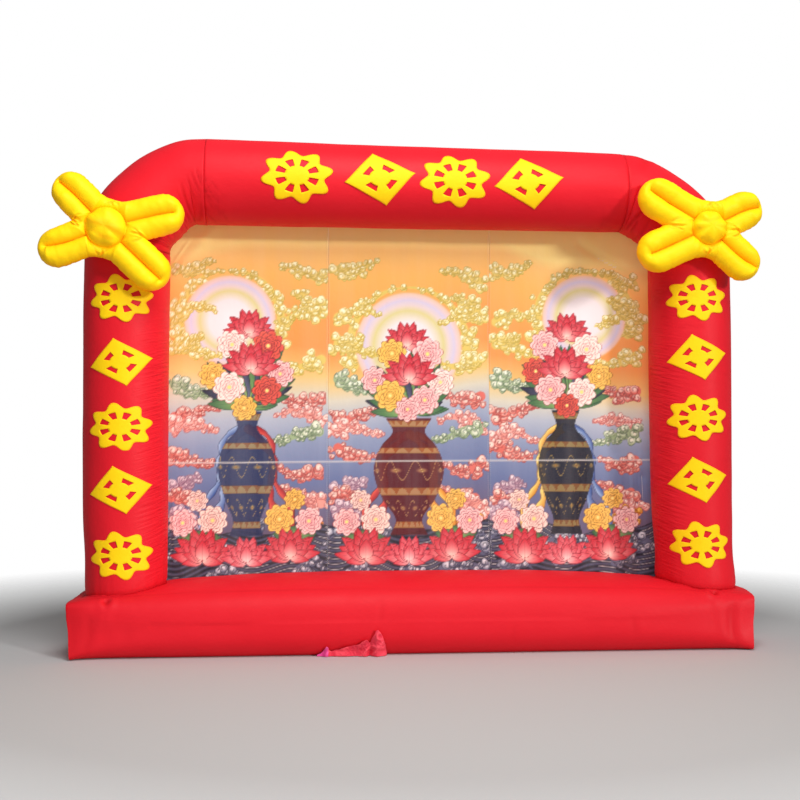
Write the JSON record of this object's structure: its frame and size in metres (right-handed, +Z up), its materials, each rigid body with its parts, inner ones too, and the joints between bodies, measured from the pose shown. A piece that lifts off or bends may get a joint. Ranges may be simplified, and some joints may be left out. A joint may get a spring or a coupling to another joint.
{
  "type": "inflatable arch",
  "caption": "Inflatable arch of cloth tube on a long inflated base, with a printed cloth backdrop between its posts, grooved lobed ornaments at its shoulders and sewn-on cut-outs.",
  "frame": {"origin": "on the floor, in the middle of the base's underside, below the middle of the arch", "axes": "+X along the base and the header, +Y from the open front to the back, +Z up"},
  "size_m": [6.3554, 1.225, 4.5681],
  "materials": {
    "red_cloth": "satin",
    "flap_cloth": "satin",
    "yellow_cloth": "satin",
    "printed_cloth": "matte"
  },
  "bodies": {
    "root": {"base": "red_cloth", "post_left": "red_cloth", "post_right": "red_cloth", "elbow_left": "red_cloth", "elbow_right": "red_cloth", "header": "red_cloth", "backdrop_left": "printed_cloth", "backdrop_centre": "printed_cloth", "backdrop_right": "printed_cloth", "ornament_left": "yellow_cloth", "ornament_right": "yellow_cloth", "front_flap": "flap_cloth", "header_motif_1": "yellow_cloth", "header_motif_2": "yellow_cloth", "header_motif_3": "yellow_cloth", "header_motif_4": "yellow_cloth", "post_motif_left_1": "yellow_cloth", "post_motif_left_2": "yellow_cloth", "post_motif_left_3": "yellow_cloth", "post_motif_left_4": "yellow_cloth", "post_motif_left_5": "yellow_cloth", "post_motif_right_1": "yellow_cloth", "post_motif_right_2": "yellow_cloth", "post_motif_right_3": "yellow_cloth", "post_motif_right_4": "yellow_cloth", "post_motif_right_5": "yellow_cloth"}
  },
  "joints": []
}
